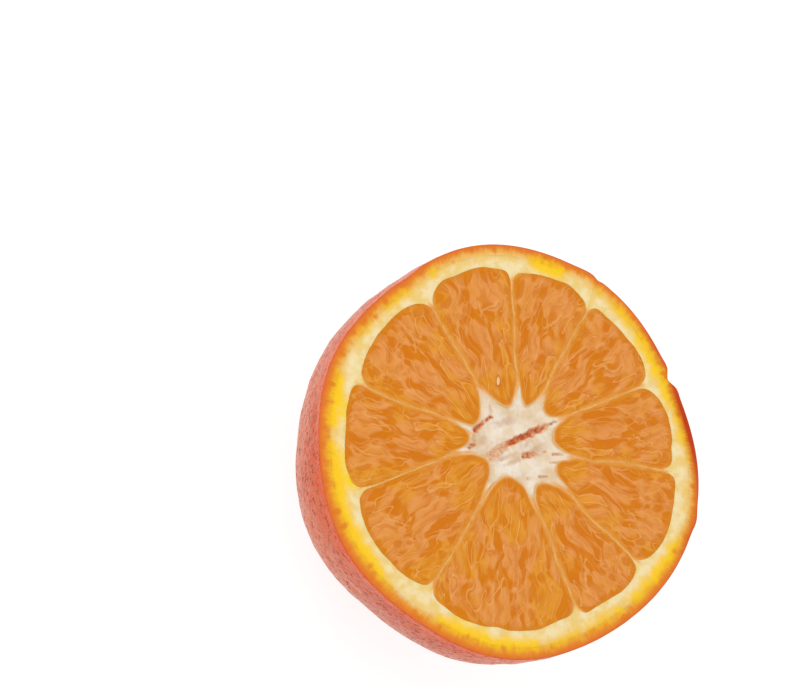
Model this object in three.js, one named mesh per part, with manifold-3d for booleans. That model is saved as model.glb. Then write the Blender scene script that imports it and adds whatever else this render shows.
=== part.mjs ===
// Half of a tangelo, cut across the fruit, lying on its rounded end with the cut face up.
// Sizes are millimetres. +Z points up out of the cut face and the origin is the middle of
// the small flat spot the half rests on, on the fruit's own axis.

import * as THREE from 'three';
import Module from 'manifold-3d';

const wasm = await Module();
wasm.setup();

// ---- The half as a whole ----
const CUT_RADIUS = 38.9; // mean radius of the cut face, to the outside of the rind
const WIDEST_DEPTH = 4.5; // the fruit is widest this far below the cut
const LOWER_HEIGHT = 36.0; // from the widest plane down to the flat spot
const FLAT_RADIUS = 6.5; // the flat spot at the rounded end
const HEIGHT = WIDEST_DEPTH + LOWER_HEIGHT;
const WALL_STEPS = 108; // facets round the fruit
const WALL_LEVELS = 12; // facets up the wall
const FACE_RINGS = [0.82, 0.6, 0.38, 0.24, 0.12]; // rings of the face, as shares of its radius
const OVERSHOOT = 1; // what is cut away is drawn on past the cut face by this much

// The fruit is not quite round: each row is one wave of the outline, as waves per turn,
// height in mm and the turn of a crest in degrees.
const OUTLINE_WAVES = [
  [3, 0.48, 31.1],
  [4, 0.37, -33.1],
  [5, 0.16, -18.2],
  [6, 0.23, -14.9],
  [7, 0.17, 18.2],
];
// Shallow lengthwise swells of the side, fullest half way down.
const SIDE_SWELL = [6, 0.39, 21.6];
// Small bumps and hollows of the skin at the edge of the cut: turn, height and spread,
// in degrees and mm. They fade out down the side.
const EDGE_BUMPS = [
  [50.5, 0.4, 3],
  [131, 0.3, 4],
  [190.5, -0.35, 4],
];
const BUMP_DROP = 7; // mm down the side over which they fade

// ---- A nick in the edge of the rind ----
const NICK_TURN = 92.3;
const NICK_DEEP = 1.1; // inwards from the rind's skin
const NICK_WIDTH = 4.1; // along the edge
const NICK_DROP = 2.6; // down the side
const NICK_FOOT = 0.25; // width of its foot, as a share of its width at the cut

// ---- Pulp sacs and the membranes between them ----
const MEMBRANE = 0.7; // thickness of the double skin between two sacs
const GAP = 0.3; // clearance between a sac's pulp and its pocket
const FLOOR_GAPS = 2; // the floor lies this many clearances up, as its wall slopes there
const PITH_BELOW = 4.8; // rind and pith under the sacs at the rounded end
const CORE_RADIUS = 6.0; // the sacs close in on the axis no nearer than this
const CORNER_ROUND = 2.8; // outer corners of a sac, where the pith fills in
const TIP_ROUND = 2.4; // the end of a sac at the core
const SIDE_ROUND = 5.0; // bend of a sac's side where the core's ray begins
const BEND_POINTS = 6; // points along each bend
const OUTER_STOPS = [0.25, 0.5, 0.75]; // where a sac's outer side is bowed out, as shares
const OUTER_BOW = 0.5; // fall of the bow at a corner, as a share of the corner's own
const SAC_POINTS = 30; // points round a sac's outline
const SAC_LEVELS = 5; // facets down a sac
const SAC_FLOOR = 0.34; // the sac's floor, as a share of its width at the cut
const SAC_RINGS = [0.86, 0.6, 0.3]; // rings of a sac's cut surface
const PULP_SWELL = 0.25; // the pulp stands this proud of the cut at the middle of a sac
const JUICE_RIDGE = 0.12; // height of the rays of juice cells on the cut pulp
const RIDGE_PITCH = 9; // degrees from one ray of cells to the next

// One row for each membrane, going round the fruit: its turn at the pith in degrees,
// and where the ray of the core that it grows out of ends.
const MEMBRANES = [
  { turn: -0.4, x: 8.6, y: 0.4 },
  { turn: 29.4, x: 10.5, y: 6.8 },
  { turn: 63.4, x: 5.0, y: 11.0 },
  { turn: 93.8, x: -2.0, y: 10.5 },
  { turn: 126.8, x: -7.6, y: 10.2 },
  { turn: 156.1, x: -10.6, y: 6.0 },
  { turn: 189.2, x: -12.0, y: -0.9 },
  { turn: 228.3, x: -9.7, y: -9.6 },
  { turn: 263.9, x: -3.3, y: -8.8 },
  { turn: 304.2, x: 4.9, y: -7.6 },
];
// One row for each sac, lying between its membrane and the next: the radius of the pulp
// against the pith at the middle and at its two corners, and its tip at the core.
const SACS = [
  { middle: 33.5, first: 33.0, last: 32.7, x: 6.9, y: 3.0 },
  { middle: 35.0, first: 32.9, last: 34.4, x: 5.0, y: 6.9 },
  { middle: 34.0, first: 33.2, last: 32.3, x: 1.3, y: 8.0 },
  { middle: 34.2, first: 32.2, last: 34.2, x: -4.5, y: 8.6 },
  { middle: 35.1, first: 33.6, last: 34.2, x: -5.5, y: 5.3 },
  { middle: 34.9, first: 34.7, last: 31.9, x: -6.6, y: 2.6 },
  { middle: 34.0, first: 32.8, last: 32.3, x: -6.5, y: -4.4 },
  { middle: 34.1, first: 34.1, last: 32.8, x: -5.9, y: -5.8 },
  { middle: 33.8, first: 33.1, last: 32.3, x: -0.4, y: -4.8 },
  { middle: 34.3, first: 33.2, last: 32.2, x: 3.2, y: -2.8 },
];

// ---- The white core ----
const CORE_DIP = 0.5; // the soft core has sunk this far below the cut
const CORE_DIP_RADIUS = 9;
const CORE_DIP_EDGE = 4; // how sharply the dip ends
// Splits in the core: start and end of each, its width and how deep it runs.
const CORE_SPLITS = [
  { from: [-2.1, 8.6], to: [-1.4, -1.6], width: 1.1, deep: 3 },
  { from: [2.1, 5.0], to: [1.4, 1.6], width: 0.8, deep: 1.8 },
  { from: [-6.9, -1.0], to: [-5.9, -5.4], width: 0.8, deep: 2 },
];
const SPLIT_POINTS = 14;
// A split narrows downwards: shares of its depth, and of its width there.
const SPLIT_LEVELS = [[1, 0.25], [0.5, 0.8]];

// ---- Looks ----
const RIND_COLOUR = 0xdd5a2b;
const RIND_ROUGHNESS = 0.38;
const PULP_COLOUR = 0xe58a2e;
const PULP_ROUGHNESS = 0.25;

const radians = THREE.MathUtils.degToRad;
const flatShare = FLAT_RADIUS / CUT_RADIUS;
const spheroidHeight = LOWER_HEIGHT / Math.sqrt(1 - flatShare * flatShare);
const pulpHeight = LOWER_HEIGHT - PITH_BELOW;

function wave([count, size, crest], turn) {
  return size * Math.cos(count * (turn - radians(crest)));
}

// Height of the bumps at a turn and a depth below the cut.
function bumps(turn, depth) {
  const fade = Math.exp(-depth / BUMP_DROP);
  return EDGE_BUMPS.reduce((sum, [crest, size, spread]) => {
    const away = THREE.MathUtils.radToDeg(turn) - crest;
    return sum + size * fade * Math.exp(-((away / spread) ** 2));
  }, 0);
}

// Share of the widest width that a spheroid keeps at a depth below the cut.
function roundness(depth, lowerHeight) {
  const share = (depth - WIDEST_DEPTH) / lowerHeight;
  return Math.sqrt(Math.max(0, 1 - share * share));
}

// Radius of the rind's skin at a turn round the fruit and a depth below the cut.
function wallRadius(turn, depth) {
  const round = roundness(depth, spheroidHeight) / roundness(0, spheroidHeight);
  const fade = Math.sqrt(Math.max(0, 1 - (depth / HEIGHT) ** 2));
  const waves = OUTLINE_WAVES.reduce((sum, row) => sum + wave(row, turn), 0);
  const swell = wave(SIDE_SWELL, turn) * Math.sin((Math.PI * depth) / HEIGHT);
  return CUT_RADIUS * round + (waves + bumps(turn, depth)) * fade + swell;
}

// A closed solid from rings of points stacked upwards, each running anticlockwise.
function stack(rings) {
  const count = rings[0].length;
  const positions = rings.flat(2);
  const index = [];
  for (let level = 0; level + 1 < rings.length; level += 1) {
    for (let i = 0; i < count; i += 1) {
      const a = level * count + i;
      const b = level * count + ((i + 1) % count);
      index.push(a, b, b + count, a, b + count, a + count);
    }
  }
  const ends = [rings[0], rings[rings.length - 1]];
  ends.forEach((ring, top) => {
    const middle = positions.length / 3;
    const start = top * (rings.length - 1) * count;
    for (let axis = 0; axis < 3; axis += 1) {
      positions.push(ring.reduce((sum, point) => sum + point[axis], 0) / count);
    }
    for (let i = 0; i < count; i += 1) {
      const a = start + i;
      const b = start + ((i + 1) % count);
      index.push(middle, top ? a : b, top ? b : a);
    }
  });
  const geometry = new THREE.BufferGeometry();
  geometry.setAttribute('position', new THREE.Float32BufferAttribute(positions, 3));
  geometry.setIndex(index);
  return geometry;
}

function toSolid(geometry) {
  return new wasm.Manifold(new wasm.Mesh({
    numProp: 3,
    vertProperties: new Float32Array(geometry.attributes.position.array),
    triVerts: new Uint32Array(geometry.index.array),
  }));
}

function toGeometry(solid) {
  const mesh = solid.getMesh();
  const geometry = new THREE.BufferGeometry();
  geometry.setAttribute('position', new THREE.BufferAttribute(mesh.vertProperties, 3));
  geometry.setIndex(new THREE.BufferAttribute(mesh.triVerts, 1));
  return geometry;
}

// Height of the cut at a distance from the axis: flat, but for the sunken core.
function faceHeight(radius) {
  return HEIGHT - CORE_DIP * Math.exp(-((radius / CORE_DIP_RADIUS) ** CORE_DIP_EDGE));
}

// The half with nothing cut out of it: flat spot, rounded wall, cut face.
function wholeHalf() {
  const rings = [];
  const lowest = Math.asin(LOWER_HEIGHT / spheroidHeight);
  const highest = -Math.asin(WIDEST_DEPTH / spheroidHeight);
  for (let level = 0; level <= WALL_LEVELS; level += 1) {
    const lean = lowest + ((highest - lowest) * level) / WALL_LEVELS;
    const depth = WIDEST_DEPTH + spheroidHeight * Math.sin(lean);
    rings.push(ringAt((turn) => wallRadius(turn, depth), () => HEIGHT - depth));
  }
  for (const share of FACE_RINGS) {
    rings.push(ringAt((turn) => share * wallRadius(turn, 0), faceHeight));
  }
  return stack(rings);
}

function ringAt(radiusAt, heightAt) {
  return Array.from({ length: WALL_STEPS }, (unused, i) => {
    const turn = (2 * Math.PI * i) / WALL_STEPS;
    const radius = radiusAt(turn);
    return [radius * Math.cos(turn), radius * Math.sin(turn), heightAt(radius)];
  });
}

// Points of a closed outline whose corners are rounded with an arc-like bend.
function roundedOutline(corners) {
  const path = [];
  corners.forEach((corner, i) => {
    const before = corners[(i + corners.length - 1) % corners.length].at;
    const after = corners[(i + 1) % corners.length].at;
    const reach = (side) => Math.min(corner.round, corner.at.distanceTo(side) / 2);
    const enter = corner.at.clone().lerp(before, reach(before) / corner.at.distanceTo(before));
    const leave = corner.at.clone().lerp(after, reach(after) / corner.at.distanceTo(after));
    const bend = new THREE.QuadraticBezierCurve(enter, corner.at, leave);
    path.push(...bend.getPoints(BEND_POINTS));
  });
  return path;
}

// Evenly spaced points along a closed path.
function evenly(path, count) {
  const closed = [...path, path[0]];
  const lengths = [0];
  for (let i = 1; i < closed.length; i += 1) {
    lengths.push(lengths[i - 1] + closed[i].distanceTo(closed[i - 1]));
  }
  const total = lengths[lengths.length - 1];
  return Array.from({ length: count }, (unused, k) => {
    const want = (total * k) / count;
    const next = lengths.findIndex((length) => length > want);
    const span = (want - lengths[next - 1]) / (lengths[next] - lengths[next - 1]);
    return closed[next - 1].clone().lerp(closed[next], span);
  });
}

function polar(radius, turn) {
  return new THREE.Vector2(radius * Math.cos(turn), radius * Math.sin(turn));
}

// Moves an outline inwards, square to itself, by a distance.
function inset(points, distance) {
  return points.map((point, i) => {
    const before = points[(i + points.length - 1) % points.length];
    const after = points[(i + 1) % points.length];
    const along = after.clone().sub(before).normalize();
    return new THREE.Vector2(point.x - along.y * distance, point.y + along.x * distance);
  });
}

// Outline of a sac's pocket on the cut: from its tip at the core out along one membrane,
// round against the pith and back along the next membrane.
function pocketOutline(which) {
  const sac = SACS[which];
  const near = MEMBRANES[which];
  const far = MEMBRANES[(which + 1) % MEMBRANES.length];
  const nearTurn = radians(near.turn);
  const farTurn = radians(far.turn) + (far.turn < near.turn ? 2 * Math.PI : 0);
  const half = MEMBRANE / 2;
  const shift = (spot, turn, side) => spot.add(polar(half * side, turn + Math.PI / 2));
  const corners = [
    { at: new THREE.Vector2(sac.x, sac.y), round: TIP_ROUND },
    { at: shift(new THREE.Vector2(near.x, near.y), nearTurn, 1), round: SIDE_ROUND },
    { at: shift(polar(sac.first, nearTurn), nearTurn, 1), round: CORNER_ROUND },
  ];
  const fuller = OUTER_BOW * (sac.middle - Math.min(sac.first, sac.last));
  for (const share of OUTER_STOPS) {
    const turn = nearTurn + (farTurn - nearTurn) * share;
    const radius = sac.middle - fuller * (2 * share - 1) ** 2;
    corners.push({ at: polar(radius, turn), round: SIDE_ROUND });
  }
  corners.push(
    { at: shift(polar(sac.last, farTurn), farTurn, -1), round: CORNER_ROUND },
    { at: shift(new THREE.Vector2(far.x, far.y), farTurn, -1), round: SIDE_ROUND },
  );
  return evenly(roundedOutline(corners), SAC_POINTS);
}

// Draws an outline in towards the core, as the fruit narrows with depth.
function drawnIn(points, share) {
  return points.map((point) => {
    const radius = CORE_RADIUS + (point.length() - CORE_RADIUS) * share;
    return point.clone().setLength(radius);
  });
}

// Rings of a sac's side from its floor up to the cut, narrowed by a clearance all round.
function sacRings(which, clearance) {
  const rings = [];
  const outline = pocketOutline(which);
  const widest = 1 / roundness(0, pulpHeight);
  const lowest = Math.acos(SAC_FLOOR / widest);
  const highest = -Math.asin(WIDEST_DEPTH / pulpHeight);
  for (let level = 0; level <= SAC_LEVELS; level += 1) {
    const lean = lowest + ((highest - lowest) * level) / SAC_LEVELS;
    const lift = clearance * FLOOR_GAPS * Math.sin(Math.max(0, lean));
    const height = LOWER_HEIGHT - pulpHeight * Math.sin(lean) + lift;
    const points = inset(drawnIn(outline, widest * Math.cos(lean)), clearance);
    rings.push(points.map((point) => [point.x, point.y, height]));
  }
  return rings;
}

// The pocket runs on a little above the cut, so that it opens there.
function pocket(which) {
  const rings = sacRings(which, 0);
  rings.push(rings[rings.length - 1].map(([x, y, z]) => [x, y, z + OVERSHOOT]));
  return stack(rings);
}

// Rays of juice cells: low ridges that point at the fruit's axis, highest mid-way out.
function juiceRelief(x, y, share) {
  const swell = PULP_SWELL * (1 - share * share);
  const ray = Math.cos((THREE.MathUtils.radToDeg(Math.atan2(y, x)) * 2 * Math.PI) / RIDGE_PITCH);
  return swell + JUICE_RIDGE * ray * (1 - share);
}

function segmentGeometry(which) {
  const rings = sacRings(which, GAP);
  const edge = rings[rings.length - 1];
  const middle = [0, 1].map((axis) => edge.reduce((sum, p) => sum + p[axis], 0) / edge.length);
  for (const share of SAC_RINGS) {
    rings.push(edge.map(([x, y, z]) => {
      const inX = middle[0] + (x - middle[0]) * share;
      const inY = middle[1] + (y - middle[1]) * share;
      return [inX, inY, z + juiceRelief(inX, inY, share)];
    }));
  }
  return stack(rings);
}

// A split in the core: a slit that is widest at its middle and closes with depth.
function splitCut({ from, to, width, deep }) {
  const start = new THREE.Vector2(...from);
  const line = new THREE.Vector2(...to).sub(start);
  const across = new THREE.Vector2(-line.y, line.x).normalize();
  const ring = (share, height) => Array.from({ length: SPLIT_POINTS }, (unused, i) => {
    const turn = (2 * Math.PI * i) / SPLIT_POINTS;
    const spot = start.clone().addScaledVector(line, 0.5 - 0.5 * Math.cos(turn));
    spot.addScaledVector(across, -0.5 * width * share * Math.sin(turn));
    return [spot.x, spot.y, height];
  });
  const rings = SPLIT_LEVELS.map(([down, share]) => ring(share, HEIGHT - deep * down));
  return stack([...rings, ring(1, HEIGHT + OVERSHOOT)]);
}

// The nick: a wedge with its edge leaning inwards, deepest at the cut. It is cut with its
// mouth one nick's depth outside the skin, so the wedge is twice as wide there.
function nickCut() {
  const turn = radians(NICK_TURN);
  const skin = wallRadius(turn, 0);
  const mouth = skin + NICK_DEEP;
  const ring = (edge, half, height) => [
    polar(edge, turn),
    polar(mouth, turn - half),
    polar(mouth, turn + half),
  ].map((point) => [point.x, point.y, height]);
  const half = NICK_WIDTH / skin;
  return stack([
    ring(skin + NICK_DEEP / 2, half * NICK_FOOT, HEIGHT - NICK_DROP),
    ring(skin - NICK_DEEP, half, HEIGHT),
    ring(skin - NICK_DEEP, half, HEIGHT + OVERSHOOT),
  ]);
}

// Rind, pith, membranes and core grew as one: the half less its ten pockets.
function peelAndMembranes() {
  let body = toSolid(wholeHalf());
  SACS.forEach((sac, which) => {
    body = body.subtract(toSolid(pocket(which)));
  });
  for (const split of CORE_SPLITS) {
    body = body.subtract(toSolid(splitCut(split)));
  }
  return toGeometry(body.subtract(toSolid(nickCut())));
}

function piece(name, geometry, color, roughness) {
  const material = new THREE.MeshStandardMaterial({ color, roughness, metalness: 0 });
  const mesh = new THREE.Mesh(geometry, material);
  mesh.name = name;
  geometry.computeVertexNormals();
  return mesh;
}

const half = new THREE.Group();
half.name = 'tangelo_half';
half.add(piece('peel_and_membranes', peelAndMembranes(), RIND_COLOUR, RIND_ROUGHNESS));

SACS.forEach((sac, which) => {
  const name = `segment_${String(which + 1).padStart(2, '0')}`;
  half.add(piece(name, segmentGeometry(which), PULP_COLOUR, PULP_ROUGHNESS));
});

export default half;
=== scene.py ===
import math

import bpy
import numpy as np
from mathutils import Matrix, Vector


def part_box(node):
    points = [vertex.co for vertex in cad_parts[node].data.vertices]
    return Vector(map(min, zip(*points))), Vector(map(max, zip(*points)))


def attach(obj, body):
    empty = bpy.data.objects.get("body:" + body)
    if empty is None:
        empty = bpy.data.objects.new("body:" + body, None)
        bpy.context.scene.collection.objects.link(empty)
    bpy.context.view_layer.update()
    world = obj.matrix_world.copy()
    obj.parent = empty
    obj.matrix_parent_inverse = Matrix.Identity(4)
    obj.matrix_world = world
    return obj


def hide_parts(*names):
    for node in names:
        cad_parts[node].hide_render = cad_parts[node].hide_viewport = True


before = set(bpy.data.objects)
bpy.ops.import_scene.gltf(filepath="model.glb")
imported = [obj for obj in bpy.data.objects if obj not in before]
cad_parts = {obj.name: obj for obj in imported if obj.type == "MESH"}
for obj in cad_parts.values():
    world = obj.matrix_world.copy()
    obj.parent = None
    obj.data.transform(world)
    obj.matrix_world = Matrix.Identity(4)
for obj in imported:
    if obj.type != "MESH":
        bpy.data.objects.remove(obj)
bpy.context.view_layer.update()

# ---- Rind ----
# The fruit's outer peel: a thin, pitted, red-orange skin full of oil glands, seen from
# outside and, as a band that turns from red-orange to yellow, at the cut. It grew as one
# with the pith inside it, and ends at the cut in a clean edge with one small nick.
MM = 0.001
CUT_RADIUS = 38.9  # mean radius of the cut face
WIDEST_DEPTH = 4.5  # the fruit is widest this far below the cut
FLAT_RADIUS = 6.5  # flat spot that the half rests on
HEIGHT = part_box("peel_and_membranes")[1].z / MM
LOWER_HEIGHT = HEIGHT - WIDEST_DEPTH
SPHEROID_HEIGHT = LOWER_HEIGHT / math.sqrt(1 - (FLAT_RADIUS / CUT_RADIUS) ** 2)
# The angle on the spheroid, below its widest plane, at the flat spot and at the cut.
LOWEST_LEAN = math.asin(LOWER_HEIGHT / SPHEROID_HEIGHT)
CUT_LEAN = -math.asin(WIDEST_DEPTH / SPHEROID_HEIGHT)
# Waves of the outline: waves per turn, height in mm, turn of a crest in degrees.
OUTLINE_WAVES = [
    (3, 0.48, 31.1), (4, 0.37, -33.1), (5, 0.16, -18.2), (6, 0.23, -14.9), (7, 0.17, 18.2),
]
SIDE_SWELL = (6, 0.39, 21.6)  # a swell of the side, fullest half way down, written the same way
# Bumps and hollows at the edge of the cut: turn, height, spread in degrees.
EDGE_BUMPS = [(50.5, 0.4, 3), (131, 0.3, 4), (190.5, -0.35, 4), (128, -0.3, 1.2)]
BUMP_DROP = 7.0  # mm down the side over which they fade
# The nick in the edge: its turn and half its width in degrees, and mm inwards and down.
NICK_TURN, NICK_DEEP, NICK_HALF, NICK_DROP = 92.3, 1.25, 3.2, 2.6
# The lips beside it: height, degrees from its middle to them, and half their width.
NICK_LIP, NICK_LIP_AT, NICK_LIP_WIDE = 0.14, 4.6, 1.4
NICK_SOFT = 0.7  # degrees over which the bottom of the V is rounded
NICK_SHOWN = 0.02  # where it is deeper than this, the cut peel's colour shows
MEMBRANE_TURNS = np.radians([-0.4, 29.4, 63.4, 93.8, 126.8, 156.1, 189.2, 228.3, 263.9, 304.2])
COLUMNS = 620  # points round the fruit
WALL_ROWS = 142  # points up the wall
RIND_THICK = 2.2  # from the skin to where the pale pith begins
EDGE_STEP = 0.015  # a first step this wide makes an edge shade as a crisp one
# Rings of points on the cut, in mm in from the skin.
CUT_STEPS = [0.06, 0.2, 0.45, 0.7, 0.95, 1.2, 1.45, 1.7, 1.95, RIND_THICK - EDGE_STEP, RIND_THICK]
INNER_ROWS, INNER_START = 6, 0.08  # the inner wall starts that angle below the cut
PIT_SPACING, PIT_RADIUS, PIT_DEEP = 1.15, 0.42, 0.12
# Relief as layers of noise: height and size in mm, and seed.
SKIN_RELIEF = [(0.13, 2.6, 21), (0.22, 11.0, 31)]  # lumps and shallow dents
CUT_RELIEF = [(0.05, 0.9, 41), (0.03, 0.4, 42)]  # what the knife leaves
RELIEF_SUNK = 0.1  # the peel's relief is drawn in by this, to keep the fruit's size
FOOT_CLEAR, FOOT_FADE = 0.15, 3.0  # mm above the table from which the relief grows
EDGE_FADE, EDGE_RELIEF = 1.5, 0.25  # mm below the cut over which it falls to that share
CUT_CORNER = (0.2, 0.06)  # mm below the cut of the wall's last row and of the skin's edge


def hashed(ix, iy, iz, seed):
    """A fixed number from 0 to 1 for each whole-numbered corner: its three counts are
    multiplied by large odd numbers, mixed by shifts, and scaled."""
    h = (ix.astype(np.int64) * 374761393 + iy.astype(np.int64) * 668265263
         + iz.astype(np.int64) * 1440662683 + seed * 974634777) & 0xFFFFFFFF
    h = ((h ^ (h >> 13)) * 1274126177) & 0xFFFFFFFF
    h = ((h ^ (h >> 16)) * 2246822519) & 0xFFFFFFFF
    return ((h ^ (h >> 15)) & 0xFFFFFF) / float(0x1000000)


def eased(share):
    """A share from 0 to 1 made to start and end softly, as 3t^2 - 2t^3."""
    return share * share * (3 - 2 * share)


def noise(points, size, seed):
    """Smooth noise from -1 to 1: random corner values of a grid of that size in mm, blended
    along each axis by 3t^2 - 2t^3."""
    scaled = points / size
    corner = np.floor(scaled).astype(np.int64)
    t = eased(scaled - corner)
    total = 0.0
    for step in np.ndindex(2, 2, 2):
        share = np.prod(np.where(step, t, 1 - t), axis=-1)
        total = total + share * hashed(*np.moveaxis(corner + step, -1, 0), seed)
    return 2 * total - 1


def layers(points, rows, seed=0):
    """Noise of several heights and sizes, added up."""
    return sum(high * noise(points, size, seed + own) for high, size, own in rows)


def rising(value, start, over):
    """Goes from 0 to 1 in a straight line as the value goes on that far from the start."""
    return np.clip((value - start) / over, 0, 1)


def spots_at(radius, turn, *height):
    """Spots at those distances from the axis and turns; points, where a height is given."""
    return np.stack([radius * np.cos(turn), radius * np.sin(turn), *height], -1)


def nearest_spot(points, size, seed):
    """Distance in mm to the nearest of one random spot in each cell of a grid of that size;
    a spot keeps a little off the sides of its cell, so that no two fall together."""
    cell = np.floor(points / size).astype(np.int64)
    best = np.full(points.shape[:-1], 1e9)
    for step in np.ndindex(3, 3, 3):
        c = cell + (np.array(step) - 1)
        own = [hashed(c[..., 0], c[..., 1], c[..., 2], seed + k) for k in range(3)]
        spot = 0.15 + 0.7 * np.stack(own, -1)
        best = np.minimum(best, np.linalg.norm((c + spot) * size - points, axis=-1))
    return best


def wave(row, turn):
    """A cosine with that many waves a turn, that height, and a crest at that turn."""
    return row[1] * np.cos(row[0] * (turn - math.radians(row[2])))


def away(turn, degrees):
    """Degrees from a turn to the given one, the short way round."""
    return (np.degrees(turn) - degrees + 180) % 360 - 180


def wall_radius(turn, depth):
    """Radius of the skin: a spheroid widest a little below the cut, plus the outline's waves
    that fade out downwards, a swell fullest half way down, and bumps at the edge."""
    def round_at(d):
        return np.sqrt(np.clip(1 - ((d - WIDEST_DEPTH) / SPHEROID_HEIGHT) ** 2, 0, 1))

    fade = np.sqrt(np.clip(1 - (depth / HEIGHT) ** 2, 0, 1))
    rough = sum(wave(row, turn) for row in OUTLINE_WAVES)
    rough = rough + sum(size * np.exp(-depth / BUMP_DROP - (away(turn, at) / spread) ** 2)
                        for at, size, spread in EDGE_BUMPS)
    swell = wave(SIDE_SWELL, turn) * np.sin(np.pi * depth / HEIGHT)
    return CUT_RADIUS * round_at(depth) / round_at(0.0) + rough * fade + swell


def nick_depth(turn, depth):
    """How far the nick cuts in from the skin: a V with a soft foot that narrows and ends a
    little below the cut, between two low swollen lips."""
    off = np.hypot(away(turn, NICK_TURN), NICK_SOFT)
    lips = NICK_LIP * np.exp(-((off - NICK_LIP_AT) / NICK_LIP_WIDE) ** 2 - depth / NICK_DROP)
    return NICK_DEEP * np.clip(1 - off / NICK_HALF - depth / NICK_DROP, 0, 1) - lips


def strip(rows, columns, start=0):
    """Triangles of a band of points, rows stacked upwards and each closed round."""
    i = np.arange(rows - 1)[:, None] * columns + start
    j = np.arange(columns)[None, :]
    a, b = i + j, i + (j + 1) % columns
    quads = np.stack([a, b, b + columns, a, b + columns, a + columns], -1)
    return quads.reshape(-1, 3)


def in_scene(name, data):
    """A new object of that data, put in the scene."""
    made = bpy.data.objects.new(name, data)
    bpy.context.scene.collection.objects.link(made)
    return made


def add_piece(name, points, triangles, values, nodes, slot, *materials):
    """Makes a smooth mesh of triangles from points in mm, with points that coincide merged
    and the triangles that this closes up dropped, and rides it on the root. A second
    material is used where the value in_from_skin is over 0 at all three corners."""
    _, first, back = np.unique(
        np.round(points, 4), axis=0, return_index=True, return_inverse=True)
    points = points[first]
    triangles = back.reshape(-1)[triangles]
    a, b, c = triangles.T
    triangles = triangles[(a != b) & (b != c) & (c != a)]
    mesh = bpy.data.meshes.new(name)
    mesh.vertices.add(len(points))
    mesh.vertices.foreach_set("co", (points * MM).astype(np.float32).ravel())
    mesh.loops.add(triangles.size)
    mesh.loops.foreach_set("vertex_index", triangles.astype(np.int32).ravel())
    mesh.polygons.add(len(triangles))
    mesh.polygons.foreach_set("loop_start", np.arange(0, triangles.size, 3, dtype=np.int32))
    mesh.polygons.foreach_set("use_smooth", np.ones(len(triangles), bool))
    for material in materials:
        mesh.materials.append(material)
    if len(materials) > 1:
        cut = (values["in_from_skin"][first][triangles] > 0).all(axis=1)
        mesh.polygons.foreach_set("material_index", cut.astype(np.int32))
    mesh.update(calc_edges=True)
    for key, value in values.items():
        layer = mesh.attributes.new(key, "FLOAT", "POINT")
        layer.data.foreach_set("value", value[first].astype(np.float32))
    piece = in_scene(name, mesh)
    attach(piece, "root")
    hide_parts(*nodes)


LIGHT_SHARE = 0.745  # a level white surface comes out a third brighter than white in the studio


def srgb(red, green, blue):
    """A colour as it looks in the studio, from 0 to 255 on a screen, as the linear share of
    light that the surface returns."""
    share = np.array([red, green, blue]) / 255
    linear = np.where(share <= 0.04045, share / 12.92, ((share + 0.055) / 1.055) ** 2.4)
    return (*(linear * LIGHT_SHARE).tolist(), 1.0)


def new_material(name):
    """A new material, its node tree and its surface shader."""
    material = bpy.data.materials.new(name)
    material.use_nodes = True
    return material, material.node_tree, material.node_tree.nodes["Principled BSDF"]


def fill(tree, node, inputs):
    """Gives a node its inputs: one that is a socket is linked, and any other is set."""
    for key, value in inputs.items():
        if isinstance(value, bpy.types.NodeSocket):
            tree.links.new(value, node.inputs[key])
        else:
            node.inputs[key].default_value = value


def shade(tree, kind, inputs, **settings):
    """Adds a shader node with those inputs and settings."""
    made = tree.nodes.new("ShaderNode" + kind)
    for key, value in settings.items():
        setattr(made, key, value)
    fill(tree, made, inputs)
    return made


def maths(operation, a, b=0.0):
    """Works out a value in the tree that the first one belongs to."""
    return shade(a.id_data, "Math", {0: a, 1: b}, operation=operation).outputs[0]


def times(a, b):
    return maths("MULTIPLY", a, b)


def minus(a, b):
    return maths("SUBTRACT", a, b)


def plus(first, *others):
    """The sum of two values or more."""
    for other in others:
        first = maths("ADD", first, other)
    return first


def mixed(share, first, second):
    """A colour that goes from the first to the second with the share."""
    inputs = {0: share, 6: first, 7: second}
    return shade(share.id_data, "Mix", inputs, data_type="RGBA").outputs[2]


def tinted(colour, where, tint, share=1.0):
    """A colour with that share of a tint laid over it where the value is 1."""
    return mixed(times(where, share), colour, srgb(*tint))


def ramp(value, low, high):
    """Goes smoothly from 0 to 1 as the value goes from low to high."""
    inputs = {0: value, 1: low, 2: high}
    return shade(value.id_data, "MapRange", inputs, interpolation_type="SMOOTHSTEP").outputs[0]


def stored(tree, name):
    """A value that the mesh holds at each point."""
    return shade(tree, "Attribute", {}, attribute_name=name).outputs["Fac"]


def object_place(tree):
    """Coordinates that go with the object."""
    return shade(tree, "TexCoord", {}).outputs["Object"]


def noise_over(place, scale, detail, **more):
    """Noise on those coordinates."""
    inputs = {"Vector": place, "Scale": scale, "Detail": detail, **more}
    return shade(place.id_data, "TexNoise", inputs).outputs["Fac"]


def cells_over(place, scale, **more):
    """A Voronoi pattern, which gives the distance to the nearest of scattered spots."""
    return shade(place.id_data, "TexVoronoi", {"Vector": place, "Scale": scale, **more})


def object_noise(tree, per_mm, detail=3.0):
    """Noise on the object's own coordinates, with about that many blobs to a mm."""
    return noise_over(object_place(tree), per_mm / MM, detail, Roughness=0.55)


def object_cells(tree, per_mm):
    """Distance to the nearest of scattered spots, of which about that many lie on a mm."""
    return cells_over(object_place(tree), per_mm / MM).outputs["Distance"]


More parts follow.
